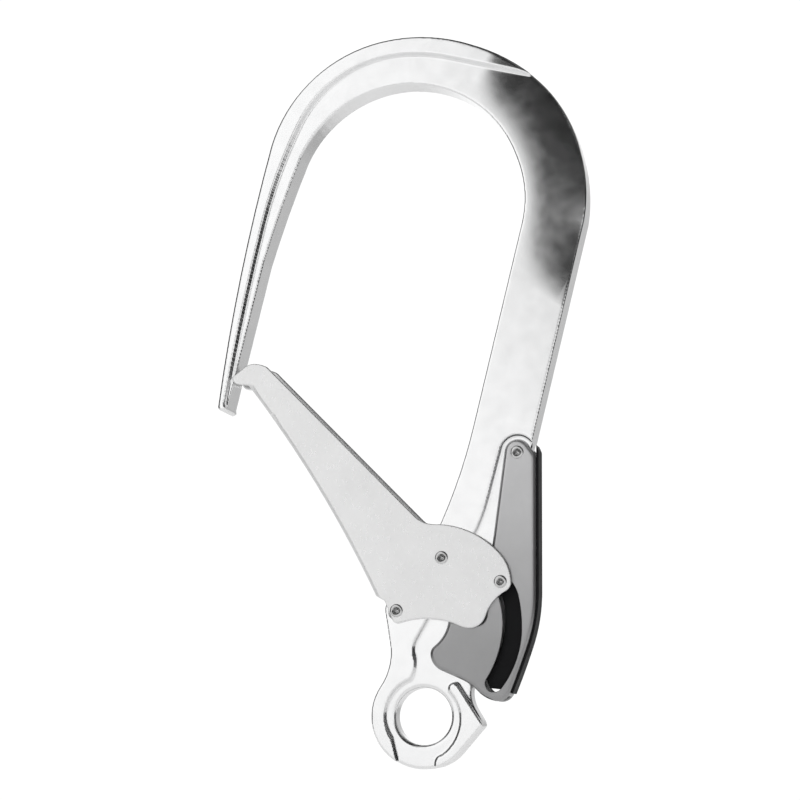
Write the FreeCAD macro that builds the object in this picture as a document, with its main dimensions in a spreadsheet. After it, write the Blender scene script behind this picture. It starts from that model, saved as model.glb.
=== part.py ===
import FreeCAD, Part
import math
import os
import Sketcher

# A double-action scaffold hook: a forged light-alloy hook with an eye, a sprung gate whose two
# cheeks straddle the hook's nose and spine, and a squeeze lever that blocks the gate's lock studs.
# Millimetres. The origin is the eye's centre at mid-thickness, +Z runs up the load line to the crown,
# +X points from the nose to the spine, and Y is the thickness. Both faces of the hook are alike.

Vector = FreeCAD.Vector
document = FreeCAD.newDocument("ScaffoldHook")

DIMENSIONS = [
    ("body_thickness", 16.0, "forging, over its flat faces"),
    ("channel_thickness", 11.0, "forging, between the recessed faces that the lever rides on"),
    ("flange_thickness", 20.6, "forging, over the flange round the crown and the nose"),
    ("eye_bore_radius", 13.0, "lanyard eye"),
    ("eye_edge_round", 1.2, "radius on the eye's rims"),
    ("eye_ring_radius", 24.0, "outside of the eye"),
    ("eye_recess_radius", 17.8, "recessed face round the eye"),
    ("gate_pivot_x", -12.0, "gate hinge"),
    ("gate_pivot_z", 48.0, "gate hinge"),
    ("lever_pivot_x", 43.7, "lever hinge"),
    ("lever_pivot_z", 120.5, "lever hinge"),
    ("lock_radius", 50.0, "gate hinge to the lock studs"),
    ("lock_angle", 15.0, "direction of the lock studs, gate shut"),
    ("stop_radius", 32.0, "gate hinge to the stop pin"),
    ("stop_angle", 49.0, "direction of the stop pin, gate shut"),
    ("gate_travel", 50.0, "degrees that the gate opens"),
    ("lever_travel", 3.9, "degrees that the lever swings in"),
    ("hub_radius", 44.0, "gate hinge to the hub's edge behind the lever"),
    ("gate_width", 20.6, "over the gate's cheeks"),
    ("gate_gap", 16.6, "between the gate's cheeks"),
    ("gate_fold_radius", 1.9, "outside of the gate's folds"),
    ("lever_width", 15.6, "over the lever's cheeks"),
    ("lever_gap", 11.6, "between the lever's cheeks"),
    ("lever_head_radius", 6.2, "round top of the lever"),
    ("lever_recess_radius", 8.2, "edge of the recess round the lever's top"),
    ("lever_fold_radius", 1.9, "outside of the lever's folds"),
    ("grip_width", 11.6, "black strip down the lever's back"),
    ("core_width", 7.2, "black core inside the lever"),
    ("window_width", 8.0, "window in the lever's back for the core's bridge"),
    ("window_low", 56.0, "window, lower edge"),
    ("window_high", 65.0, "window, upper edge"),
    ("fit_gap", 0.05, "radial running clearance"),
    ("shank_radius", 2.5, "rivets"),
    ("head_radius", 3.0, "rivets"),
    ("gate_head_height", 0.5, "rivet heads on the gate"),
    ("lever_head_height", 0.4, "rivet heads on the lever"),
    ("rivet_bore_radius", 1.5, "blind holes in the rivets' ends"),
    ("rivet_bore_depth", 4.0, "blind holes in the rivets' ends"),
    ("bush_radius", 3.6, "bushes in the forging's two bores"),
    ("stop_sleeve_radius", 3.0, "sleeve on the stop pin"),
    ("stop_slot_margin", 0.35, "clearance round the stop sleeve in its slot"),
    ("stud_radius", 2.5, "lock studs, in the lever's slots"),
    ("stud_tail_radius", 2.0, "lock studs, through the gate's cheeks"),
    ("stud_inner", 4.2, "half the gap between the two lock studs"),
    ("stud_seat_radius", 3.3, "rest seat at the top of the lever's slot"),
    ("spring_slot_radius", 5.5, "slot round the gate bush for its spring"),
    ("spring_slot_width", 5.8, "slot round the gate bush for its spring"),
    ("coil_radius", 4.9, "gate spring, outside"),
    ("coil_bore_radius", 3.8, "gate spring, inside"),
    ("coil_length", 5.2, "gate spring, along its axis"),
    ("leg_radius", 0.55, "gate spring, half its wire"),
    ("gate_leg_length", 14.0, "gate spring, leg under the gate's back"),
    ("body_leg_length", 9.0, "gate spring, leg held in the forging"),
    ("lever_spring_z", 100.0, "lever spring, height of its axis"),
    ("lever_spring_radius", 2.7, "lever spring, outside"),
    ("lever_spring_bore", 1.9, "lever spring, inside"),
    ("spring_well_radius", 3.1, "blind hole that holds the lever spring"),
    ("spring_well_floor", 33.0, "X of the blind hole's floor"),
    ("lever_web_inside", 50.2, "X of the lever's back, inside"),
]

sheet = document.addObject("Spreadsheet::Sheet", "dimensions")
for row, (alias, value, note) in enumerate(DIMENSIONS, start=1):
    sheet.set("A%d" % row, alias)
    sheet.set("B%d" % row, str(value))
    sheet.set("C%d" % row, note)
    sheet.setAlias("B%d" % row, alias)
document.recompute()


def size(alias):
    return float(sheet.get(alias))


def polar(centre, radius, degrees):
    angle = math.radians(degrees)
    return (centre[0] + radius * math.cos(angle), centre[1] + radius * math.sin(angle))


EYE = (0.0, 0.0)
GATE_PIVOT = (size("gate_pivot_x"), size("gate_pivot_z"))
LEVER_PIVOT = (size("lever_pivot_x"), size("lever_pivot_z"))
STOP_PIN = polar(GATE_PIVOT, size("stop_radius"), size("stop_angle"))
LOCK_STUD = polar(GATE_PIVOT, size("lock_radius"), size("lock_angle"))


class Outline:
    """A closed outline in the XZ plane. An arc leaves each point in the direction that led there."""

    def __init__(self, start, heading):
        self.start = self.at = Vector(start[0], start[1], 0)
        self.turn(heading)
        self.curves = []

    def turn(self, heading):
        angle = math.radians(heading)
        self.heading = Vector(math.cos(angle), math.sin(angle), 0)
        return self

    def line(self, *points):
        for point in points:
            end = Vector(point[0], point[1], 0)
            self.curves.append(Part.LineSegment(self.at, end))
            self.heading = (end - self.at).normalize()
            self.at = end
        return self

    def arc(self, *points):
        """Arcs through the points in turn, each tangent to the one before."""
        for point in points:
            end = Vector(point[0], point[1], 0)
            chord = end - self.at
            along = Vector(chord).normalize()
            left = Vector(-along.y, along.x, 0)
            lead = math.atan2(self.heading * left, self.heading * along)
            middle = (self.at + end) * 0.5 + left * (chord.Length / 2 * math.tan(lead / 2))
            self.curves.append(Part.Arc(self.at, middle, end))
            self.heading = along * math.cos(lead) - left * math.sin(lead)
            self.at = end
        return self

    def through(self, *pairs):
        """Arcs given by a point on the way and an end point each."""
        for passing, point in pairs:
            end = Vector(point[0], point[1], 0)
            curve = Part.Arc(self.at, Vector(passing[0], passing[1], 0), end)
            self.curves.append(curve)
            spoke = end - curve.toShape().Curve.Center
            self.heading = Vector(-spoke.y, spoke.x, 0).normalize()
            if self.heading * (end - self.at) < 0:
                self.heading = self.heading * -1
            self.at = end
        return self

    def about(self, centre, sweep):
        """An arc round a centre, by a number of degrees."""
        hub = Vector(centre[0], centre[1], 0)
        spoke = self.at - hub
        turned = [FreeCAD.Rotation(Vector(0, 0, 1), sweep * part).multVec(spoke) for part in (0.5, 1)]
        middle, end = hub + turned[0], hub + turned[1]
        self.curves.append(Part.Arc(self.at, middle, end))
        quarter = FreeCAD.Rotation(Vector(0, 0, 1), math.copysign(90, sweep))
        self.heading = quarter.multVec(end - hub).normalize()
        self.at = end
        return self

    def close(self):
        if (self.start - self.at).Length > 1e-6:
            self.curves.append(Part.LineSegment(self.at, self.start))
        return self.curves


def new_body(label):
    body = document.addObject("PartDesign::Body", label)
    body.Label = label
    return body


def plane_of(body, role):
    return next(plane for plane in body.Origin.OriginFeatures if plane.Role == role)


def new_sketch(body, name, role="XZ_Plane", offset=0.0):
    """A sketch on one of the body's own origin planes, or parallel to it. On XZ it faces -Y."""
    sketch = body.newObject("Sketcher::SketchObject", name)
    sketch.AttachmentSupport = [(plane_of(body, role), "")]
    sketch.MapMode = "FlatFace"
    sketch.AttachmentOffset = FreeCAD.Placement(Vector(0, 0, offset), FreeCAD.Rotation())
    return sketch


def outline_sketch(body, name, curves, offset=0.0):
    sketch = new_sketch(body, name, offset=offset)
    sketch.addGeometry(curves, False)
    # an arc's own start and end follow its sense of rotation, so neighbours meet by position
    for index, curve in enumerate(curves):
        follower = (index + 1) % len(curves)
        for first in (1, 2):
            for second in (1, 2):
                gap = sketch.getPoint(index, first) - sketch.getPoint(follower, second)
                if gap.Length < 1e-6:
                    sketch.addConstraint(
                        Sketcher.Constraint("Coincident", index, first, follower, second)
                    )
    return sketch


def circle_sketch(body, name, circles, offset=0.0):
    """Circles given as (x expression, z expression, radius expression), bound to the sheet."""
    sketch = new_sketch(body, name, offset=offset)
    for index, (across, up, radius) in enumerate(circles):
        start = Vector(40, 40, 0)
        sketch.addGeometry(Part.Circle(start, Vector(0, 0, 1), 5), False)
        places = [("DistanceX", start.x, across), ("DistanceY", start.y, up)]
        for kind, value, expression in places:
            number = sketch.addConstraint(Sketcher.Constraint(kind, -1, 1, index, 3, value))
            sketch.setExpression("Constraints[%d]" % number, expression)
        number = sketch.addConstraint(Sketcher.Constraint("Radius", index, 5.0))
        sketch.setExpression("Constraints[%d]" % number, radius)
    return sketch


def pad(body, name, sketch, length):
    """A slab of the sketch, centred on the mid-plane."""
    feature = body.newObject("PartDesign::Pad", name)
    feature.Profile = sketch
    feature.SideType = "Symmetric"
    feature.setExpression("Length", length)
    document.recompute()
    return feature


def pocket(body, name, sketch, length):
    """The same slab, cut away."""
    before = body.Shape.Volume
    feature = body.newObject("PartDesign::Pocket", name)
    feature.Profile = sketch
    feature.SideType = "Symmetric"
    feature.setExpression("Length", length)
    document.recompute()
    if body.Shape.Volume >= before:
        raise RuntimeError(name + " cuts nothing")
    return feature


def face_pocket(body, name, curves, floor):
    """The outline cut away from both faces down to a floor on each side of the mid-plane."""
    before = body.Shape.Volume
    sketch = outline_sketch(body, name + "_outline", curves)
    sketch.setExpression("AttachmentOffset.Base.z", floor)
    feature = body.newObject("PartDesign::Pocket", name)
    feature.Profile = sketch
    feature.Type = "ThroughAll"
    feature.Reversed = True
    document.recompute()
    mirror = body.newObject("PartDesign::Mirrored", name + "_other_face")
    mirror.Originals = [feature]
    mirror.MirrorPlane = (plane_of(body, "XZ_Plane"), [""])
    body.Tip = mirror
    document.recompute()
    if body.Shape.Volume >= before:
        raise RuntimeError(name + " cuts nothing")
    return mirror


def edges_where(shape, test):
    return ["Edge%d" % (number + 1) for number, edge in enumerate(shape.Edges) if test(edge)]


def rounded(body, name, radius, test):
    base = body.Tip
    feature = body.newObject("PartDesign::Fillet", name)
    feature.Base = (base, edges_where(base.Shape, test))
    feature.setExpression("Radius", radius)
    document.recompute()
    return feature


# ---------------------------------------------------------------- hook body

SPINE_FOOT = (38.4, 74.2)
SPINE_TOP = (75.4, 228.4)
SHOULDER = (51.0, 298.2)
CROWN_OUTSIDE = [
    ((37.5, 307.4), (22.2, 314.1)),
    ((1.5, 318.7), (-21.1, 317.5)),
    ((-54.2, 300.9), (-74.2, 269.0)),
    ((-88.4, 207.0), (-98.4, 144.6)),
]
NOSE_INSIDE = (-94.4, 143.8)
EYE_SIDE = 145.0
EYE_FOOT = 292.0
HUB_FOOT = -41.0
HUB_HEAD = 25.0
SPINE_HEADING = math.degrees(math.atan2(SPINE_TOP[1] - SPINE_FOOT[1], SPINE_TOP[0] - SPINE_FOOT[0]))


def spine_back():
    """From the foot of the spine up to where the flange begins."""
    path = Outline(SPINE_FOOT, SPINE_HEADING).line(SPINE_TOP)
    return path.through(((76.3, 244.5), (73.8, 260.5)), ((64.4, 283.0), SHOULDER))


def hook_outline():
    ring = size("eye_ring_radius")
    hub = size("hub_radius")
    path = spine_back()
    path.through(*CROWN_OUTSIDE).arc(NOSE_INSIDE).line((-77.5, 213.5))
    path.through(((-69.7, 237.5), (-59.9, 263.5)), ((-41.5, 286.2), (-10.7, 296.9)))
    path.through(((23.0, 286.8), (43.5, 259.5)), ((47.2, 243.5), (45.9, 227.5)))
    path.line((23.1, 132.5)).arc((9.0, 90.5)).line((0.5, 71.1))
    # hub behind the gate, and the boss round the gate's hinge
    path.arc((-9.6, 54.3)).turn(160).arc((-17.8, 48.0)).line((-15.4, 33.0))
    path.arc(polar(EYE, ring, EYE_SIDE)).about(EYE, EYE_FOOT - EYE_SIDE)
    path.arc((16.6, -16.8)).line((26.7, -5.05)).arc((27.0, -1.5)).line((23.9, 3.7))
    path.arc((22.0, 12.0)).line((22.2, 14.0), polar(GATE_PIVOT, hub, HUB_FOOT))
    path.about(GATE_PIVOT, HUB_HEAD - HUB_FOOT)
    return path.close()


def flange_outline():
    """The thick band that runs from the crown's shoulder round to the nose."""
    path = Outline(SHOULDER, 140)
    path.through(*CROWN_OUTSIDE).arc(NOSE_INSIDE).line((-95.1, 146.0)).turn(80.5)
    path.arc((-77.5, 232.0), (-60.5, 279.0), (-12.0, 310.8), (10.0, 308.8))
    return path.close()


def recess_outline():
    """Where the lever rides and round the eye's near side; it runs out past the forging's edge."""
    head = size("lever_recess_radius")
    eye = size("eye_recess_radius")
    path = Outline(polar(LEVER_PIVOT, head, 0), 90)
    path.about(LEVER_PIVOT, 165.2).line((29.6, 98.9)).arc((23.2, 82.5)).line((-3.4, 35.0))
    path.arc((-4.3, 27.5), (-6.1, 16.7)).about(EYE, 105)
    path.line((-9.5, -30.0), (5.6, -30.0), (5.9, -21.0)).arc((8.9, -17.6))
    path.turn(35).arc((17.5, -2.0), (12.3, 11.4)).turn(118).arc((16.2, 14.0))
    path.line((31.0, -8.6), (70.0, -8.6), (70.0, LEVER_PIVOT[1]))
    return path.close()


def stop_slot_outline():
    """An arc slot round the gate's hinge for the stop pin, with a degree to spare at each end."""
    reach = size("stop_sleeve_radius") + size("stop_slot_margin")
    outer = size("stop_radius") + reach
    first = size("stop_angle") + 1.0
    last = size("stop_angle") - size("gate_travel") - 1.0
    path = Outline(polar(GATE_PIVOT, outer, last), last + 90)
    path.about(GATE_PIVOT, first - last)
    path.about(polar(GATE_PIVOT, size("stop_radius"), first), 180)
    path.about(GATE_PIVOT, last - first)
    path.about(polar(GATE_PIVOT, size("stop_radius"), last), 180)
    return path.close()


def spring_slot_outline():
    """A slot at mid-thickness round the gate bush, open to the left for the spring's leg."""
    reach = size("spring_slot_radius")
    across, up = GATE_PIVOT
    path = Outline((across + reach, up - 1.2), 0)
    path.line((across + 9.5, up - 1.2), (across + 9.5, up + 1.2), (across + reach, up + 1.2))
    path.line((across + reach, up + 12.0), (across - 12.0, up + 12.0), (across - 12.0, up - 3.0))
    path.line((across - 4.6, up - 3.0)).turn(-60).arc((across + reach, up - 1.2))
    return path.close()


hook = new_body("hook_body")
pad(hook, "forging", outline_sketch(hook, "forging_outline", hook_outline()), "dimensions.body_thickness")
pad(hook, "flange", outline_sketch(hook, "flange_outline", flange_outline()), "dimensions.flange_thickness")
face_pocket(hook, "lever_recess", recess_outline(), "dimensions.channel_thickness / 2")
pocket(
    hook,
    "stop_slot",
    outline_sketch(hook, "stop_slot_outline", stop_slot_outline()),
    "dimensions.flange_thickness",
)
pocket(
    hook,
    "bores",
    circle_sketch(
        hook,
        "bore_circles",
        [
            ("0", "0", "dimensions.eye_bore_radius"),
            (
                "dimensions.gate_pivot_x",
                "dimensions.gate_pivot_z",
                "dimensions.bush_radius + dimensions.fit_gap",
            ),
            (
                "dimensions.lever_pivot_x",
                "dimensions.lever_pivot_z",
                "dimensions.bush_radius + dimensions.fit_gap",
            ),
        ],
    ),
    "dimensions.flange_thickness",
)
rounded(
    hook,
    "eye_rims",
    "dimensions.eye_edge_round",
    lambda edge: isinstance(edge.Curve, Part.Circle)
    and abs(edge.Curve.Radius - size("eye_bore_radius")) < 1e-4,
)
pocket(
    hook,
    "spring_slot",
    outline_sketch(hook, "spring_slot_outline", spring_slot_outline()),
    "dimensions.spring_slot_width",
)
well = new_sketch(hook, "spring_well_circle", role="YZ_Plane")
well.addGeometry(Part.Circle(Vector(0, size("lever_spring_z"), 0), Vector(0, 0, 1), 3.0), False)
well.addConstraint(Sketcher.Constraint("PointOnObject", 0, 3, -2))
number = well.addConstraint(Sketcher.Constraint("DistanceY", -1, 1, 0, 3, size("lever_spring_z")))
well.setExpression("Constraints[%d]" % number, "dimensions.lever_spring_z")
number = well.addConstraint(Sketcher.Constraint("Radius", 0, 3.0))
well.setExpression("Constraints[%d]" % number, "dimensions.spring_well_radius")
well.setExpression("AttachmentOffset.Base.z", "dimensions.spring_well_floor")
before = hook.Shape.Volume
spring_well = hook.newObject("PartDesign::Pocket", "spring_well")
spring_well.Profile = well
spring_well.Type = "ThroughAll"
spring_well.Reversed = True
document.recompute()
if hook.Shape.Volume >= before:
    raise RuntimeError("spring_well cuts nothing")


# --------------------------------------------------------------------- gate

GATE_FOOT = (-21.9, 54.9)
GATE_TIP = (-84.0, 154.3)


def gate_outline():
    path = Outline(GATE_TIP, 180)
    path.line((-88.8, 154.8)).arc((-91.6, 158.2)).line((-85.6, 162.8)).arc((-80.3, 164.3), (-74.6, 162.6))
    path.line((-3.4, 91.3)).arc((5.5, 87.6), (35.7, 74.4), (41.2, 60.5))
    path.about(LOCK_STUD, -57).arc((29.3, 45.3), (22.0, 39.9), (17.5, 40.9), (3.5, 44.3))
    path.arc((-11.3, 42.3), (-13.6, 43.4)).line((-17.6, 52.5), GATE_FOOT).turn(116).arc(GATE_TIP)
    return path.close()


def gate_hollow():
    """All of the inside, up to the back wall's inner face."""
    path = Outline((-17.5, 25.0), 90)
    path.line((-20.1, 55.8)).turn(116).arc((-82.4, 155.5)).line((-85.6, 152.3), (-110.0, 150.0))
    path.line((-110.0, 200.0), (70.0, 200.0), (70.0, 25.0))
    return path.close()


def along_back(edge, thickness, foot, tip):
    """Is this one of the two long outer edges of a folded back?"""
    middle = edge.valueAt((edge.FirstParameter + edge.LastParameter) / 2)
    ends = [vertex.Point for vertex in edge.Vertexes]
    targets = [Vector(foot[0], middle.y, foot[1]), Vector(tip[0], middle.y, tip[1])]
    on_face = abs(abs(middle.y) - thickness / 2) < 1e-4
    return on_face and all(min((end - target).Length for end in ends) < 0.01 for target in targets)


gate = new_body("gate")
pad(gate, "gate_blank", outline_sketch(gate, "gate_outline", gate_outline()), "dimensions.gate_width")
pocket(
    gate,
    "gate_hollow",
    outline_sketch(gate, "gate_hollow_outline", gate_hollow()),
    "dimensions.gate_gap",
)
rounded(
    gate,
    "gate_folds",
    "dimensions.gate_fold_radius",
    lambda edge: along_back(edge, size("gate_width"), GATE_FOOT, GATE_TIP),
)
STOP_X = "dimensions.gate_pivot_x + dimensions.stop_radius * cos(dimensions.stop_angle * 1deg)"
STOP_Z = "dimensions.gate_pivot_z + dimensions.stop_radius * sin(dimensions.stop_angle * 1deg)"
LOCK_X = "dimensions.gate_pivot_x + dimensions.lock_radius * cos(dimensions.lock_angle * 1deg)"
LOCK_Z = "dimensions.gate_pivot_z + dimensions.lock_radius * sin(dimensions.lock_angle * 1deg)"
pocket(
    gate,
    "gate_holes",
    circle_sketch(
        gate,
        "gate_hole_circles",
        [
            (
                "dimensions.gate_pivot_x",
                "dimensions.gate_pivot_z",
                "dimensions.shank_radius + dimensions.fit_gap",
            ),
            (STOP_X, STOP_Z, "dimensions.shank_radius + dimensions.fit_gap"),
            (LOCK_X, LOCK_Z, "dimensions.stud_tail_radius + dimensions.fit_gap"),
        ],
    ),
    "dimensions.gate_width",
)


# -------------------------------------------------------------------- lever

LEVER_BACK_TOP = (52.2, 117.5)
LEVER_BACK = [(52.2, 57.0), (48.4, 33.0), (40.2, 10.6)]


def lever_outline():
    head = size("lever_head_radius")
    path = Outline(LEVER_BACK[2], 68.3)
    path.arc(LEVER_BACK[1], LEVER_BACK[0]).line(LEVER_BACK_TOP).arc((50.9, 121.2))
    path.line(polar(LEVER_PIVOT, head, 40)).about(LEVER_PIVOT, 132)
    # behind the gate the edge clears the stop pin's path
    path.line((32.2, 80.0), (29.2, 58.0)).arc((28.6, 46.0), (25.0, 42.5)).line((11.6, 44.0)).turn(-95)
    path.arc((5.0, 32.0), (3.2, 28.0), (7.8, 21.0)).line((17.2, 16.9)).arc((25.3, 11.3), (33.3, 6.9))
    path.arc(LEVER_BACK[2])
    return path.close()


def lever_hollow():
    inside = size("lever_web_inside")
    path = Outline((60.0, 140.0), -90)
    path.line((60.0, 118.5), (inside, 118.5), (inside, 57.0)).arc((46.5, 33.8), (38.3, 11.2))
    path.line((42.0, 3.0), (-20.0, 3.0), (-20.0, 140.0))
    return path.close()


def lever_slot():
    """The lock studs' slot: a seat, a shoulder below the seat, then an arc round the gate's hinge."""
    seat = size("stud_seat_radius")
    path = Outline((29.3, 16.8), -115)
    path.about((33.0, 15.1), 167).arc((45.7, 41.0), (44.2, 54.5), polar(LOCK_STUD, seat, 60))
    path.about(LOCK_STUD, 155).line((35.2, 54.0)).arc((36.8, 38.0), (29.3, 16.8))
    return path.close()


lever = new_body("lock_lever")
pad(lever, "lever_blank", outline_sketch(lever, "lever_outline", lever_outline()), "dimensions.lever_width")
pocket(
    lever,
    "lever_hollow",
    outline_sketch(lever, "lever_hollow_outline", lever_hollow()),
    "dimensions.lever_gap",
)
rounded(
    lever,
    "lever_folds",
    "dimensions.lever_fold_radius",
    lambda edge: along_back(edge, size("lever_width"), LEVER_BACK_TOP, LEVER_BACK[0])
    or along_back(edge, size("lever_width"), LEVER_BACK[0], LEVER_BACK[1])
    or along_back(edge, size("lever_width"), LEVER_BACK[1], LEVER_BACK[2]),
)
pocket(
    lever,
    "lever_slot",
    outline_sketch(lever, "lever_slot_outline", lever_slot()),
    "dimensions.lever_width",
)
pocket(
    lever,
    "lever_hole",
    circle_sketch(
        lever,
        "lever_hole_circle",
        [
            (
                "dimensions.lever_pivot_x",
                "dimensions.lever_pivot_z",
                "dimensions.shank_radius + dimensions.fit_gap",
            )
        ],
    ),
    "dimensions.lever_width",
)
LOW, HIGH = size("window_low"), size("window_high")
window = Outline((48.0, LOW), 0).line((56.0, LOW), (56.0, HIGH), (48.0, HIGH)).close()
pocket(
    lever,
    "lever_window",
    outline_sketch(lever, "lever_window_outline", window),
    "dimensions.window_width",
)


# ------------------------------------------------------------ lever's insert


def grip_outline():
    """The strip that lies on the lever's back, from a pointed top to the tail."""
    path = Outline((40.25, 10.58), 68.3)
    path.arc((48.45, 32.98), (52.25, 57.0)).line((52.25, 124.0), (53.3, 121.4), (53.3, 57.0))
    path.arc((49.45, 32.6), (41.2, 10.2))
    return path.close()


def bridge_outline():
    gap = 0.3
    path = Outline((49.6, LOW + gap), 0)
    path.line((52.8, LOW + gap), (52.8, HIGH - gap), (49.6, HIGH - gap))
    return path.close()


def core_outline():
    """Fills the lever behind its slots; its near side clears the forging's hub at full squeeze."""
    offset = Vector(GATE_PIVOT[0] - LEVER_PIVOT[0], GATE_PIVOT[1] - LEVER_PIVOT[1], 0)
    squeezed = FreeCAD.Rotation(Vector(0, 0, 1), size("lever_travel")).multVec(offset)
    hub = (LEVER_PIVOT[0] + squeezed.x, LEVER_PIVOT[1] + squeezed.y)
    path = Outline((50.0, 66.0), -90)
    path.line((50.0, 57.0)).arc((46.3, 33.9), (38.4, 12.0)).line((30.2, 12.9))
    path.line(polar(hub, size("hub_radius") + 0.4, -36.5)).about(hub, 60).line((40.0, 66.0))
    return path.close()


insert = new_body("lever_insert")
pad(insert, "grip", outline_sketch(insert, "grip_outline", grip_outline()), "dimensions.grip_width")
pad(insert, "core", outline_sketch(insert, "core_outline", core_outline()), "dimensions.core_width")
pad(insert, "bridge", outline_sketch(insert, "bridge_outline", bridge_outline()), "dimensions.core_width")


# ------------------------------------------------------- pins and bushes


def turned_piece(label, profile, place):
    """A turned piece on an axis along Y. The profile is (radius, y) corners; place is two expressions."""
    body = new_body(label)
    sketch = new_sketch(body, label + "_profile", role="XY_Plane")
    corners = [Vector(radius, along, 0) for radius, along in profile]
    pairs = zip(corners, corners[1:] + corners[:1])
    sketch.addGeometry([Part.LineSegment(first, second) for first, second in pairs], False)
    for index in range(len(corners)):
        follower = (index + 1) % len(corners)
        sketch.addConstraint(Sketcher.Constraint("Coincident", index, 2, follower, 1))
    feature = body.newObject("PartDesign::Revolution", label + "_turning")
    feature.Profile = sketch
    feature.ReferenceAxis = (sketch, ["V_Axis"])
    feature.Angle = 360
    body.setExpression("Placement.Base.x", place[0])
    body.setExpression("Placement.Base.z", place[1])
    document.recompute()
    return body


def mirrored_ends(half):
    """A profile that is the same at both ends, from its y > 0 half, listed from the axis outward."""
    return half + [(radius, -along) for radius, along in reversed(half)]


def rivet_profile(grip, height):
    """A rivet with a flared head and a blind bore at each end; grip is over the plates it holds."""
    shank, head = size("shank_radius"), size("head_radius")
    bore, depth = size("rivet_bore_radius"), size("rivet_bore_depth")
    flare = 0.25
    end = grip / 2 + height
    half = [
        (0.0, end - depth),
        (bore, end - depth + 0.6),
        (bore, end - flare),
        (bore + flare, end),
        (head - height * 0.8, end),
        (head, grip / 2 + 0.02),
        (shank, grip / 2 + 0.02),
    ]
    return mirrored_ends(half)


def sleeve_profile(radius, length):
    bore = size("shank_radius") + size("fit_gap")
    return [(bore, length / 2), (radius, length / 2), (radius, -length / 2), (bore, -length / 2)]


def stud_profile(side):
    """A shouldered lock stud: its tail goes out through a gate cheek and is flared there."""
    tail, shoulder, head = size("stud_tail_radius"), size("stud_radius"), size("head_radius")
    bore, height = 1.3, size("gate_head_height")
    outside, inside = size("gate_width") / 2, size("gate_gap") / 2
    profile = [
        (0.0, size("stud_inner")),
        (shoulder, size("stud_inner")),
        (shoulder, inside - 0.05),
        (tail, inside - 0.05),
        (tail, outside + 0.02),
        (head, outside + 0.02),
        (head - height * 0.8, outside + height),
        (bore + 0.25, outside + height),
        (bore, outside + height - 0.25),
        (bore, outside + height - 3.0),
        (0.0, outside + height - 3.4),
    ]
    return [(radius, side * along) for radius, along in profile]


GATE_PLACE = ("dimensions.gate_pivot_x", "dimensions.gate_pivot_z")
LEVER_PLACE = ("dimensions.lever_pivot_x", "dimensions.lever_pivot_z")
STOP_PLACE = (STOP_X, STOP_Z)
LOCK_PLACE = (LOCK_X, LOCK_Z)
gate_rivet = rivet_profile(size("gate_width"), size("gate_head_height"))
lever_rivet = rivet_profile(size("lever_width"), size("lever_head_height"))
side_play = 0.05

turned_piece("gate_pivot_rivet", gate_rivet, GATE_PLACE)
turned_piece(
    "gate_pivot_bush",
    sleeve_profile(size("bush_radius"), size("gate_gap") - 2 * side_play),
    GATE_PLACE,
)
turned_piece("stop_pin_rivet", gate_rivet, STOP_PLACE)
turned_piece(
    "stop_pin_sleeve",
    sleeve_profile(size("stop_sleeve_radius"), size("gate_gap") - 2 * side_play),
    STOP_PLACE,
)
turned_piece("lock_stud_front", stud_profile(-1), LOCK_PLACE)
turned_piece("lock_stud_rear", stud_profile(1), LOCK_PLACE)
turned_piece("lever_pivot_rivet", lever_rivet, LEVER_PLACE)
turned_piece(
    "lever_pivot_bush",
    sleeve_profile(size("bush_radius"), size("lever_gap") - 2 * side_play),
    LEVER_PLACE,
)


# ------------------------------------------------------------------ springs


def cylinder(name, radius, length, base, rotation):
    """A cylinder from its base point along the rotated Z axis."""
    shape = document.addObject("Part::Cylinder", name)
    shape.setExpression("Radius", radius)
    shape.setExpression("Height", length)
    shape.Placement = FreeCAD.Placement(base, rotation)
    return shape


TOWARDS_Y = FreeCAD.Rotation(Vector(1, 0, 0), -90)
TOWARDS_X = FreeCAD.Rotation(Vector(0, 1, 0), 90)
GATE_LEG_ANGLE = 128.0
hinge = Vector(GATE_PIVOT[0], 0, GATE_PIVOT[1])
coil_start = hinge - Vector(0, size("coil_length") / 2, 0)
mean_radius = (size("coil_radius") + size("coil_bore_radius")) / 2
leg_level = size("coil_length") / 2 - size("leg_radius") - 0.2

coil_outside = cylinder(
    "coil_outside", "dimensions.coil_radius", "dimensions.coil_length", coil_start, TOWARDS_Y
)
coil_inside = cylinder(
    "coil_inside", "dimensions.coil_bore_radius", "dimensions.coil_length", coil_start, TOWARDS_Y
)
coil_ring = document.addObject("Part::Cut", "coil_ring")
coil_ring.Base = coil_outside
coil_ring.Tool = coil_inside
leg_direction = Vector(*[polar((0, 0), 1, GATE_LEG_ANGLE)[0], 0, polar((0, 0), 1, GATE_LEG_ANGLE)[1]])
gate_leg = cylinder(
    "gate_leg",
    "dimensions.leg_radius",
    "dimensions.gate_leg_length - dimensions.coil_bore_radius - 0.4",
    hinge + Vector(0, leg_level, 0) + leg_direction * (size("coil_bore_radius") + 0.4),
    FreeCAD.Rotation(Vector(0, 0, 1), leg_direction),
)
body_leg = cylinder(
    "body_leg",
    "dimensions.leg_radius",
    "dimensions.body_leg_length - dimensions.coil_bore_radius - 0.4",
    hinge + Vector(size("coil_bore_radius") + 0.4, -leg_level, 0),
    TOWARDS_X,
)
gate_spring = document.addObject("Part::MultiFuse", "gate_spring")
gate_spring.Label = "gate_spring"
gate_spring.Shapes = [coil_ring, gate_leg, body_leg]

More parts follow.
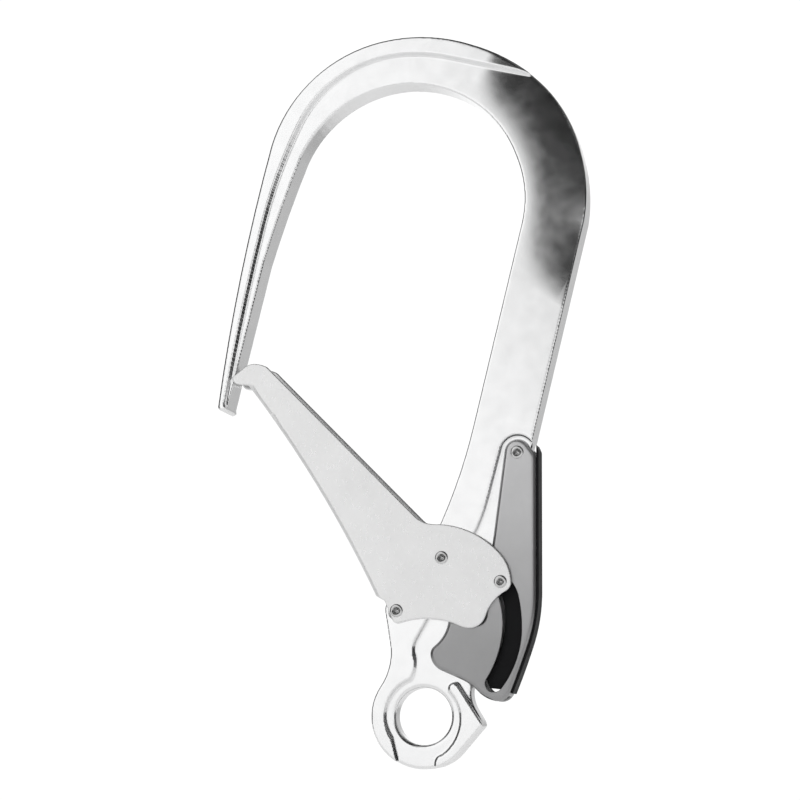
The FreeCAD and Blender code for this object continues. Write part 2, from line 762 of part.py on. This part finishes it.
spring_start = Vector(size("spring_well_floor") + 0.1, 0, size("lever_spring_z"))
spring_length = "dimensions.lever_web_inside - dimensions.spring_well_floor - 0.2"
lever_coil = cylinder(
    "lever_coil", "dimensions.lever_spring_radius", spring_length, spring_start, TOWARDS_X
)
lever_coil_bore = cylinder(
    "lever_coil_bore", "dimensions.lever_spring_bore", spring_length, spring_start, TOWARDS_X
)
lever_spring = document.addObject("Part::Cut", "lever_spring")
lever_spring.Label = "lever_spring"
lever_spring.Base = lever_coil
lever_spring.Tool = lever_coil_bore
document.recompute()


# ------------------------------------------------------------------- output

NODES = [
    "hook_body",
    "gate",
    "lock_lever",
    "lever_insert",
    "gate_pivot_rivet",
    "gate_pivot_bush",
    "stop_pin_rivet",
    "stop_pin_sleeve",
    "lock_stud_front",
    "lock_stud_rear",
    "lever_pivot_rivet",
    "lever_pivot_bush",
    "gate_spring",
    "lever_spring",
]

for item in document.Objects:
    if "Invalid" in item.State or "Error" in item.State:
        raise RuntimeError("%s failed: %s" % (item.Label, item.State))
os.makedirs("parts", exist_ok=True)
for node in NODES:
    found = document.getObjectsByLabel(node)[0]
    if found.Shape.isNull() or not found.Shape.isValid():
        raise RuntimeError(node + " has no valid shape")
    solids = len(found.Shape.Solids)
    print("%-18s %d solid, %9.1f mm3, %s" % (node, solids, found.Shape.Volume, found.Shape.BoundBox))
    found.Shape.exportStep("parts/%s.step" % node)
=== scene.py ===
import math

import bmesh
import bpy
from mathutils import Matrix, Vector


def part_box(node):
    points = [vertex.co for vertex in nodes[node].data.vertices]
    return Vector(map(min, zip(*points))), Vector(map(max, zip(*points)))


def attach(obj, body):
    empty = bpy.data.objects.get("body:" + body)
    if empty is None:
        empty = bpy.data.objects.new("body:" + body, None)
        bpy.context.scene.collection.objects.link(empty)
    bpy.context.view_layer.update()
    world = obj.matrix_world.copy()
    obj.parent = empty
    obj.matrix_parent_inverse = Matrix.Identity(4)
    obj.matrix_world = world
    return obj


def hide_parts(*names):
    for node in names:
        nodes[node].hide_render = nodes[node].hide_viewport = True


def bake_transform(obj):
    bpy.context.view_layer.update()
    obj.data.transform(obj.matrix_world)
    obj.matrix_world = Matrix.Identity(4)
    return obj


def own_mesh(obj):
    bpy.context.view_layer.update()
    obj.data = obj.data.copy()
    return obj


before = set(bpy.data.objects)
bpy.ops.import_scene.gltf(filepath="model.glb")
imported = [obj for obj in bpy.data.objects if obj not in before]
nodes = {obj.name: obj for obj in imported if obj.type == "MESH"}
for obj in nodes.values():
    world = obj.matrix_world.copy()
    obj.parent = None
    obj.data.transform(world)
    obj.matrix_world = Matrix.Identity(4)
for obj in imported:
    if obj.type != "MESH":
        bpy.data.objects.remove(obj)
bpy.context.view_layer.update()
MM = 0.001


# ------------------------------------------------------------------ places

def centre(node):
    low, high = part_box(node)
    return (low + high) / 2


GATE_PIVOT = centre("gate_pivot_rivet")
STOP_PIN = centre("stop_pin_rivet")
LEVER_PIVOT = centre("lever_pivot_rivet")
LOCK_STUD = Vector((centre("lock_stud_front").x, 0, centre("lock_stud_front").z))
BODY_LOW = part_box("hook_body")[0]
WELD = 0.002 * MM
FORGING_VOXEL = 0.4 * MM
PLATE_VOXEL = 0.25 * MM
BUSH_CLEARANCE = 0.05 * MM
BORE_INTRUSION = 0.6 * MM

# the crown's centre, and the part of its band that falls away at the shoulder
CROWN_X, CROWN_Z = -10.0 * MM, 238.0 * MM
CROWN_BAND_START, CROWN_BAND_WIDTH = 58.0 * MM, 28.0 * MM
SHOULDER_FALL = 2.4 * MM


# --------------------------------------------------------------- materials

class Nodes:
    """A small helper that adds shader nodes and joins them."""

    def __init__(self, tree):
        self.tree = tree

    def add(self, kind, inputs=None, **settings):
        node = self.tree.nodes.new(kind)
        for name, value in settings.items():
            setattr(node, name, value)
        for name, value in (inputs or {}).items():
            if isinstance(value, bpy.types.NodeSocket):
                self.tree.links.new(value, node.inputs[name])
            else:
                node.inputs[name].default_value = value
        return node

    def math(self, operation, first, second=0.0, clamp=False):
        inputs = {0: first, 1: second}
        return self.add("ShaderNodeMath", inputs, operation=operation, use_clamp=clamp).outputs[0]

    def noise(self, coordinates, scale, detail=3.0, roughness=0.55):
        inputs = {"Vector": coordinates, "Scale": scale, "Detail": detail, "Roughness": roughness}
        return self.add("ShaderNodeTexNoise", inputs).outputs["Fac"]

    def stretched(self, coordinates, scale):
        return self.add("ShaderNodeMapping", {"Vector": coordinates, "Scale": scale}).outputs[0]

    def ramp(self, value, *stops):
        """stops are (position, value) pairs of grey, or (position, colour)."""
        node = self.add("ShaderNodeValToRGB", {"Fac": value})
        elements = node.color_ramp.elements
        while len(elements) < len(stops):
            elements.new(0.5)
        for element, (position, shade) in zip(elements, stops):
            element.position = position
            element.color = (shade, shade, shade, 1) if isinstance(shade, float) else (*shade, 1)
        return node.outputs["Color"]

    def smooth(self, value, low, high, bottom=0.0, top=1.0):
        inputs = {"Value": value, "From Min": low, "From Max": high}
        inputs.update({"To Min": bottom, "To Max": top})
        node = self.add("ShaderNodeMapRange", inputs, interpolation_type="SMOOTHSTEP")
        return node.outputs["Result"]


def new_material(name, metallic, specular=0.5):
    material = bpy.data.materials.new(name)
    material.use_nodes = True
    material.node_tree.nodes.clear()
    helper = Nodes(material.node_tree)
    inputs = {"Metallic": metallic, "Specular IOR Level": specular}
    shader = helper.add("ShaderNodeBsdfPrincipled", inputs)
    output = helper.add("ShaderNodeOutputMaterial", {"Surface": shader.outputs["BSDF"]})
    output.location = (400, 0)
    place = helper.add("ShaderNodeTexCoord").outputs["Object"]
    return material, helper, shader, place


def join(helper, shader, **sockets):
    names = {"color": "Base Color", "roughness": "Roughness", "normal": "Normal"}
    for name, value in sockets.items():
        helper.tree.links.new(value, shader.inputs[names[name]])


def bumped(helper, *layers):
    """Bump layers of (height, distance in metres, strength), the first one innermost."""
    normal = None
    for height, distance, strength in layers:
        inputs = {"Height": height, "Distance": distance, "Strength": strength}
        if normal is not None:
            inputs["Normal"] = normal
        normal = helper.add("ShaderNodeBump", inputs).outputs["Normal"]
    return normal


def forged_alloy():
    """Bright tumbled alloy: fine pitting, soft waviness, and a shoulder crowned by bump."""
    material, n, shader, place = new_material("forged_alloy", 1.0)
    fine = n.noise(place, 1400.0, 4.0)
    waves = n.noise(place, 38.0, 2.0)
    cloud = n.noise(place, 90.0, 5.0, 0.65)
    shade = n.ramp(cloud, (0.3, (0.93, 0.932, 0.935)), (0.7, (0.97, 0.971, 0.973)))
    polish = n.ramp(n.noise(place, 160.0, 4.0), (0.3, 0.16), (0.75, 0.21))
    # how far a point is across the band, and which way it lies from the crown's centre
    axes = n.add("ShaderNodeSeparateXYZ", {"Vector": place})
    across = n.math("ADD", axes.outputs["X"], -CROWN_X)
    up = n.math("ADD", axes.outputs["Z"], -CROWN_Z)
    squares = n.math("ADD", n.math("MULTIPLY", across, across), n.math("MULTIPLY", up, up))
    reach = n.math("SQRT", squares)
    past_start = n.math("SUBTRACT", reach, CROWN_BAND_START)
    fall = n.math("DIVIDE", past_start, CROWN_BAND_WIDTH, clamp=True)
    bearing = n.math("ARCTAN2", up, across)
    sector = n.math(
        "MULTIPLY", n.smooth(bearing, -0.60, -0.12), n.smooth(bearing, 0.75, 1.05, 1.0, 0.0)
    )
    crowning = n.math("MULTIPLY", n.math("MULTIPLY", fall, fall), sector)
    normal = bumped(
        n, (crowning, -SHOULDER_FALL, 1.0), (waves, 0.00005, 0.3), (fine, 0.00001, 0.3)
    )
    join(n, shader, color=shade, roughness=polish, normal=normal)
    return material


def pressed_plate(name, light, dark, rough, low=None, high=None):
    """Satin sheet metal with fine rolling lines and faint marks. It may carry painted shade: darker
    towards one end of its height, lighter towards the other.
    """
    material, n, shader, place = new_material(name, 0.9)
    lines = n.noise(n.stretched(place, (1.0, 1.0, 22.0)), 130.0, 3.0)
    cloud = n.noise(place, 45.0, 5.0, 0.6)
    marks = n.noise(n.stretched(place, (3.0, 1.0, 1.0)), 300.0, 2.0)
    shade = n.ramp(cloud, (0.3, dark), (0.72, light))
    if low is not None:
        # painted shade: the colour is scaled with height, darker towards the lower end and lighter
        # towards the upper
        axes = n.add("ShaderNodeSeparateXYZ", {"Vector": place})
        height = n.smooth(axes.outputs["Z"], low[0], high[0], low[1], high[1])
        painted_shade_mix = n.add("ShaderNodeMix", data_type="RGBA", blend_type="MULTIPLY")
        painted_shade_mix.inputs["Factor"].default_value = 1.0
        n.tree.links.new(shade, painted_shade_mix.inputs[6])
        n.tree.links.new(height, painted_shade_mix.inputs[7])
        shade = painted_shade_mix.outputs[2]
    polish = n.ramp(marks, (0.3, rough - 0.01), (0.7, rough + 0.015))
    normal = bumped(n, (lines, 0.00001, 0.15), (cloud, 0.00005, 0.15))
    join(n, shader, color=shade, roughness=polish, normal=normal)
    return material


def moulded_nylon():
    material, n, shader, place = new_material("black_nylon", 0.0, 0.2)
    grain = n.noise(place, 2200.0, 3.0)
    cloud = n.noise(place, 120.0, 3.0)
    shade = n.ramp(cloud, (0.3, (0.003, 0.003, 0.004)), (0.7, (0.008, 0.008, 0.009)))
    polish = n.ramp(cloud, (0.3, 0.5), (0.7, 0.62))
    join(n, shader, color=shade, roughness=polish, normal=bumped(n, (grain, 0.00003, 0.5)))
    return material


def turned_steel(name, light, rough):
    """Turned and plated steel, with fine rings from the tool."""
    material, n, shader, place = new_material(name, 1.0)
    rings = n.noise(n.stretched(place, (1.0, 14.0, 1.0)), 260.0, 2.0)
    cloud = n.noise(place, 350.0, 4.0)
    shade = n.ramp(cloud, (0.3, light * 0.82), (0.7, light))
    polish = n.ramp(rings, (0.3, rough - 0.04), (0.7, rough + 0.08))
    join(n, shader, color=shade, roughness=polish, normal=bumped(n, (rings, 0.00003, 0.4)))
    return material


MATERIALS = {
    "forged_alloy": forged_alloy(),
    "gate_plate": pressed_plate("gate_plate", (0.90, 0.90, 0.90), (0.84, 0.84, 0.84), 0.28),
    # the lever plate carries painted shade: its colour is scaled from 0.64 at 10 mm up to 1.13 at 130 mm
    # height
    "lever_plate": pressed_plate(
        "lever_plate", (0.60, 0.60, 0.605), (0.54, 0.54, 0.545), 0.3, (0.010, 0.64), (0.130, 1.13)
    ),
    "black_nylon": moulded_nylon(),
    "rivet_steel": turned_steel("rivet_steel", 0.72, 0.2),
    "bush_steel": turned_steel("bush_steel", 0.55, 0.3),
    "spring_steel": turned_steel("spring_steel", 0.32, 0.28),
}


# ----------------------------------------------------------- making pieces

def settled(piece, *modifiers):
    """The piece's mesh with these (kind, settings) modifiers applied in turn."""
    for kind, settings in modifiers:
        modifier = piece.modifiers.new(kind.lower(), kind)
        for name, value in settings.items():
            setattr(modifier, name, value)
    bpy.context.view_layer.update()
    evaluated = piece.evaluated_get(bpy.context.evaluated_depsgraph_get())
    piece_mesh = bpy.data.meshes.new_from_object(evaluated)
    piece.modifiers.clear()
    piece.data = piece_mesh
    return piece


def finish_piece(mesh_data, name, body, slot_name, replaced, smooth_angle=None):
    piece = bpy.data.objects.new(name, mesh_data)
    bpy.context.scene.collection.objects.link(piece)
    mesh_data.materials.clear()
    mesh_data.materials.append(MATERIALS[slot_name])
    if smooth_angle is not None:
        mesh_data.shade_smooth()
        mesh_data.set_sharp_from_angle(angle=math.radians(smooth_angle))
    if body is not None:
        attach(piece, body)
    for node in replaced:
        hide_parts(node)
    return piece


def worn(node, slot_name, body, voxel, wear):
    """The CAD solid with its edges worn round: remeshed at the voxel size, smoothed wear times."""
    mesh = bmesh.new()
    mesh.from_mesh(nodes[node].data)
    bmesh.ops.remove_doubles(mesh, verts=mesh.verts, dist=WELD)
    data = bpy.data.meshes.new(node + "_shape")
    mesh.to_mesh(data)
    mesh.free()
    piece = finish_piece(data, node + "_piece", body, slot_name, [node])
    settled(
        piece,
        ("REMESH", {"mode": "VOXEL", "voxel_size": voxel, "adaptivity": 0.0}),
        ("SMOOTH", {"factor": 0.5, "iterations": wear}),
    )
    piece.data.shade_smooth()
    return piece


def true_bore(piece, bush):
    """Push a remeshed bore back out to its bush's radius and running clearance."""
    low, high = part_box(bush)
    axis = (low + high) / 2
    radius = (high.x - low.x) / 2 + BUSH_CLEARANCE
    for vertex in piece.data.vertices:
        reach = Vector((vertex.co.x - axis.x, 0, vertex.co.z - axis.z))
        if radius - BORE_INTRUSION < reach.length < radius:
            vertex.co += reach.normalized() * (radius - reach.length)


hook = worn("hook_body", "forged_alloy", "hook", FORGING_VOXEL, 14)
for bush_node in ("gate_pivot_bush", "lever_pivot_bush"):
    true_bore(hook, bush_node)
worn("gate", "gate_plate", "gate", PLATE_VOXEL, 8)
worn("lock_lever", "lever_plate", "lever", PLATE_VOXEL, 8)
worn("lever_insert", "black_nylon", "lever", PLATE_VOXEL, 5)


# ------------------------------------------------------------ turned pieces

def turned(name, slot_name, body, node, place, profile, steps=48):
    """A turned piece round an axis along Y through place. profile is (radius, y), in millimetres."""
    mesh = bmesh.new()
    rings = []
    for radius, along in profile:
        if radius < 1e-6:
            rings.append([mesh.verts.new((place.x, along * MM, place.z))])
            continue
        ring = []
        for step in range(steps):
            angle = 2 * math.pi * step / steps
            x = place.x + radius * MM * math.cos(angle)
            z = place.z + radius * MM * math.sin(angle)
            ring.append(mesh.verts.new((x, along * MM, z)))
        rings.append(ring)
    closed = profile[0][0] > 1e-6
    pairs = list(zip(rings, rings[1:]))
    if closed:
        pairs.append((rings[-1], rings[0]))
    for first, second in pairs:
        for step in range(steps):
            following = (step + 1) % steps
            corners = [
                first[step % len(first)],
                first[following % len(first)],
                second[following % len(second)],
                second[step % len(second)],
            ]
            unique = list(dict.fromkeys(corners))
            if len(unique) > 2:
                mesh.faces.new(unique)
    bmesh.ops.recalc_face_normals(mesh, faces=mesh.faces[:])
    data = bpy.data.meshes.new(name + "_shape")
    mesh.to_mesh(data)
    mesh.free()
    return finish_piece(data, name, body, slot_name, [node], 40)


def rolled_head(grip, height, head, bore, depth):
    """Half of a semi-tubular rivet, from its bore's floor out over the rolled rim to the shank."""
    end = grip + height
    return [
        (0.0, end - depth),
        (bore * 0.55, end - depth + 0.15),
        (bore, end - depth + 0.8),
        (bore, end - 0.62),
        (bore + 0.06, end - 0.34),
        (bore + 0.22, end - 0.13),
        (bore + 0.5, end - 0.02),
        (bore + 0.72, end),
        (head - 0.42, end - 0.05),
        (head - 0.16, end - 0.16),
        (head - 0.03, end - 0.3),
        (head, grip + 0.04),
        (head - 0.05, grip + 0.015),
        (2.5, grip + 0.015),
    ]


def both_ends(half):
    return half + [(radius, -along) for radius, along in reversed(half)]


GATE_HALF = 10.3
LEVER_HALF = 7.8
for name, node, body, place, half, height in (
    ("gate_hinge_rivet", "gate_pivot_rivet", "gate", GATE_PIVOT, GATE_HALF, 0.5),
    ("stop_rivet", "stop_pin_rivet", "gate", STOP_PIN, GATE_HALF, 0.5),
    ("lever_hinge_rivet", "lever_pivot_rivet", "lever", LEVER_PIVOT, LEVER_HALF, 0.4),
):
    profile = both_ends(rolled_head(half, height, 3.0, 1.5, 4.0))
    turned(name, "rivet_steel", body, node, place, profile)

for side, node in ((-1, "lock_stud_front"), (1, "lock_stud_rear")):
    outer = rolled_head(GATE_HALF, 0.5, 3.0, 1.3, 3.4)[:-1] + [(2.0, GATE_HALF + 0.015)]
    stem = [(2.0, 8.25), (2.42, 8.25), (2.5, 8.15), (2.5, 4.4), (2.3, 4.2), (0.0, 4.2)]
    profile = [(radius, side * along) for radius, along in outer + stem]
    turned(node + "_piece", "rivet_steel", "gate", node, LOCK_STUD, profile)


def sleeve(outer, half, chamfer=0.25):
    inner = 2.55
    return [
        (inner, -half),
        (outer - chamfer, -half),
        (outer, -half + chamfer),
        (outer, half - chamfer),
        (outer - chamfer, half),
        (inner, half),
    ]


turned("gate_bush", "bush_steel", "gate", "gate_pivot_bush", GATE_PIVOT, sleeve(3.6, 8.25))
turned("stop_sleeve", "bush_steel", "gate", "stop_pin_sleeve", STOP_PIN, sleeve(3.0, 8.25))
turned("lever_bush", "bush_steel", "lever", "lever_pivot_bush", LEVER_PIVOT, sleeve(3.6, 5.75))


# ------------------------------------------------------------------ springs

def wire(name, points, radius, sides=10):
    """A round wire along the points, with closed ends."""
    mesh = bmesh.new()
    rings = []
    frame_up = None
    for index, point in enumerate(points):
        before = points[max(index - 1, 0)]
        after = points[min(index + 1, len(points) - 1)]
        along = (after - before).normalized()
        if frame_up is None:
            frame_up = along.orthogonal().normalized()
        frame_up = (frame_up - along * frame_up.dot(along)).normalized()
        side = along.cross(frame_up)
        ring = []
        for step in range(sides):
            angle = 2 * math.pi * step / sides
            offset = frame_up * math.cos(angle) + side * math.sin(angle)
            ring.append(mesh.verts.new(point + offset * radius))
        rings.append(ring)
    for first, second in zip(rings, rings[1:]):
        for step in range(sides):
            following = (step + 1) % sides
            mesh.faces.new((first[step], first[following], second[following], second[step]))
    mesh.faces.new(list(reversed(rings[0])))
    mesh.faces.new(rings[-1])
    bmesh.ops.recalc_face_normals(mesh, faces=mesh.faces[:])
    data = bpy.data.meshes.new(name + "_shape")
    mesh.to_mesh(data)
    mesh.free()
    return data


def torsion_coil():
    """Wound round the gate bush: one leg in the forging, the other under the gate's back."""
    turns, per_turn = 4, 28
    radius, wire_radius = 4.35 * MM, 0.5 * MM
    half = 2.05 * MM
    start, end = 0.0, math.radians(128)
    sweep = end - start + 2 * math.pi * turns
    steps = int(per_turn * sweep / (2 * math.pi))
    points = [GATE_PIVOT + Vector((9.0 * MM, -half, 0))]
    for step in range(steps + 1):
        part = step / steps
        angle = start + sweep * part
        offset = Vector((radius * math.cos(angle), -half + 2 * half * part, radius * math.sin(angle)))
        points.append(GATE_PIVOT + offset)
    tip = Vector((14.0 * MM * math.cos(end), half, 14.0 * MM * math.sin(end)))
    points.append(GATE_PIVOT + tip)
    return wire("gate_coil", points, wire_radius)


coil = finish_piece(torsion_coil(), "gate_coil", None, "spring_steel", ["gate_spring"], 60)
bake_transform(coil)


def compression_coil():
    low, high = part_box("lever_spring")
    wire_radius = 0.36 * MM
    radius = (high.z - low.z) / 2 - wire_radius
    level_z = (low.z + high.z) / 2
    turns, per_turn = 8.5, 20
    steps = int(turns * per_turn)
    # the last turn stands just clear of the well's worn floor
    start, end = low.x + wire_radius + 0.3 * MM, high.x - wire_radius
    points = []
    for step in range(steps + 1):
        part = step / steps
        # the end turns lie almost flat
        eased = part + 0.055 * math.sin(2 * math.pi * part) * -1
        angle = 2 * math.pi * turns * part
        along = start + (end - start) * eased
        points.append(Vector((along, radius * math.sin(angle), level_z + radius * math.cos(angle))))
    return wire("lever_coil", points, wire_radius)


lever_coil = finish_piece(compression_coil(), "lever_coil", "hook", "spring_steel", ["lever_spring"], 60)
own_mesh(lever_coil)


# -------------------------------------------------------------------- stage

def stage_material(name, shade, rough=0.9):
    material, n, shader, place = new_material(name, 0.0, 0.1)
    shader.inputs["Base Color"].default_value = (shade, shade, shade, 1)
    shader.inputs["Roughness"].default_value = rough
    return material


def stage_plane(name, corners, shade):
    data = bpy.data.meshes.new(name)
    data.from_pydata([Vector(corner) for corner in corners], [], [tuple(range(len(corners)))])
    data.materials.append(stage_material(name, shade))
    plane = bpy.data.objects.new(name, data)
    bpy.context.scene.collection.objects.link(plane)
    return plane


FLOOR = BODY_LOW.z - 0.33
stage_plane(
    "floor", [(-3, -3, FLOOR), (3, -3, FLOOR), (3, 3, FLOOR), (-3, 3, FLOOR)], 0.8
)


def studio_world():
    """A soft white studio: darker to the sides and overhead, with a dark flag up and to the right."""
    world = bpy.data.worlds.new("studio")
    bpy.context.scene.world = world
    world.use_nodes = True
    world.node_tree.nodes.clear()
    n = Nodes(world.node_tree)
    direction = n.add("ShaderNodeTexCoord").outputs["Generated"]
    axes = n.add("ShaderNodeSeparateXYZ", {"Vector": direction})
    x, y, z = axes.outputs["X"], axes.outputs["Y"], axes.outputs["Z"]
    aside = n.smooth(n.math("ABSOLUTE", x), 0.42, 0.75)
    above = n.smooth(n.math("ABSOLUTE", z), 0.45, 0.8)
    in_front = n.smooth(y, -0.5, -0.75)
    flag_across = n.smooth(x, -0.135, -0.085)
    flag_up = n.smooth(z, 0.10, 0.16)
    flag = n.math("MULTIPLY", n.math("MULTIPLY", flag_across, flag_up), in_front)
    behind = n.math("MULTIPLY", n.smooth(y, 0.2, 0.5), n.smooth(x, -0.02, 0.12, 0.0, 0.5))
    dark = n.math("MAXIMUM", n.math("MAXIMUM", aside, above), n.math("MAXIMUM", flag, behind))
    # the front of the room is a little dimmer towards the ground
    room = n.math("MULTIPLY", n.ramp(dark, (0.0, 1.0), (1.0, 0.01)), n.smooth(z, -0.3, 0.12, 0.62, 1.0))
    # seen directly, the backdrop is plain white from every side
    direct = n.add("ShaderNodeLightPath").outputs["Is Camera Ray"]
    light = n.math("MAXIMUM", room, direct)
    background = n.add("ShaderNodeBackground", {"Color": light, "Strength": 1.05})
    n.add("ShaderNodeOutputWorld", {"Surface": background.outputs["Background"]})


def overhead_light():
    """A broad soft light that keeps the floor pale and stays out of the metal's reflections."""
    data = bpy.data.lights.new("overhead", "AREA")
    data.shape = "SQUARE"
    data.size = 8.0
    data.energy = 230.0
    light = bpy.data.objects.new("overhead", data)
    light.location = (0, 0, 2.5)
    light.visible_camera = False
    light.visible_glossy = False
    bpy.context.scene.collection.objects.link(light)


studio_world()
overhead_light()


# ------------------------------------------------------------------- camera

CAMERA_AT = Vector((0.219, -1.129, -0.015))
CAMERA_AIM = Vector((-0.0129, 0.0, 0.147))
FIELD_OF_VIEW = math.radians(18.284)
ROLL = math.radians(0.304)


def add_camera():
    data = bpy.data.cameras.new("camera")
    data.angle = FIELD_OF_VIEW
    data.clip_start = 0.01
    camera = bpy.data.objects.new("camera", data)
    bpy.context.scene.collection.objects.link(camera)
    forward = (CAMERA_AIM - CAMERA_AT).normalized()
    right = forward.cross(Vector((0, 0, 1))).normalized()
    up = right.cross(forward)
    rolled_right = right * math.cos(ROLL) + up * math.sin(ROLL)
    rolled_up = up * math.cos(ROLL) - right * math.sin(ROLL)
    turn = Matrix((rolled_right, rolled_up, -forward)).transposed().to_4x4()
    camera.matrix_world = Matrix.Translation(CAMERA_AT) @ turn
    bpy.context.scene.camera = camera


add_camera()
bpy.context.scene.view_settings.view_transform = "Standard"
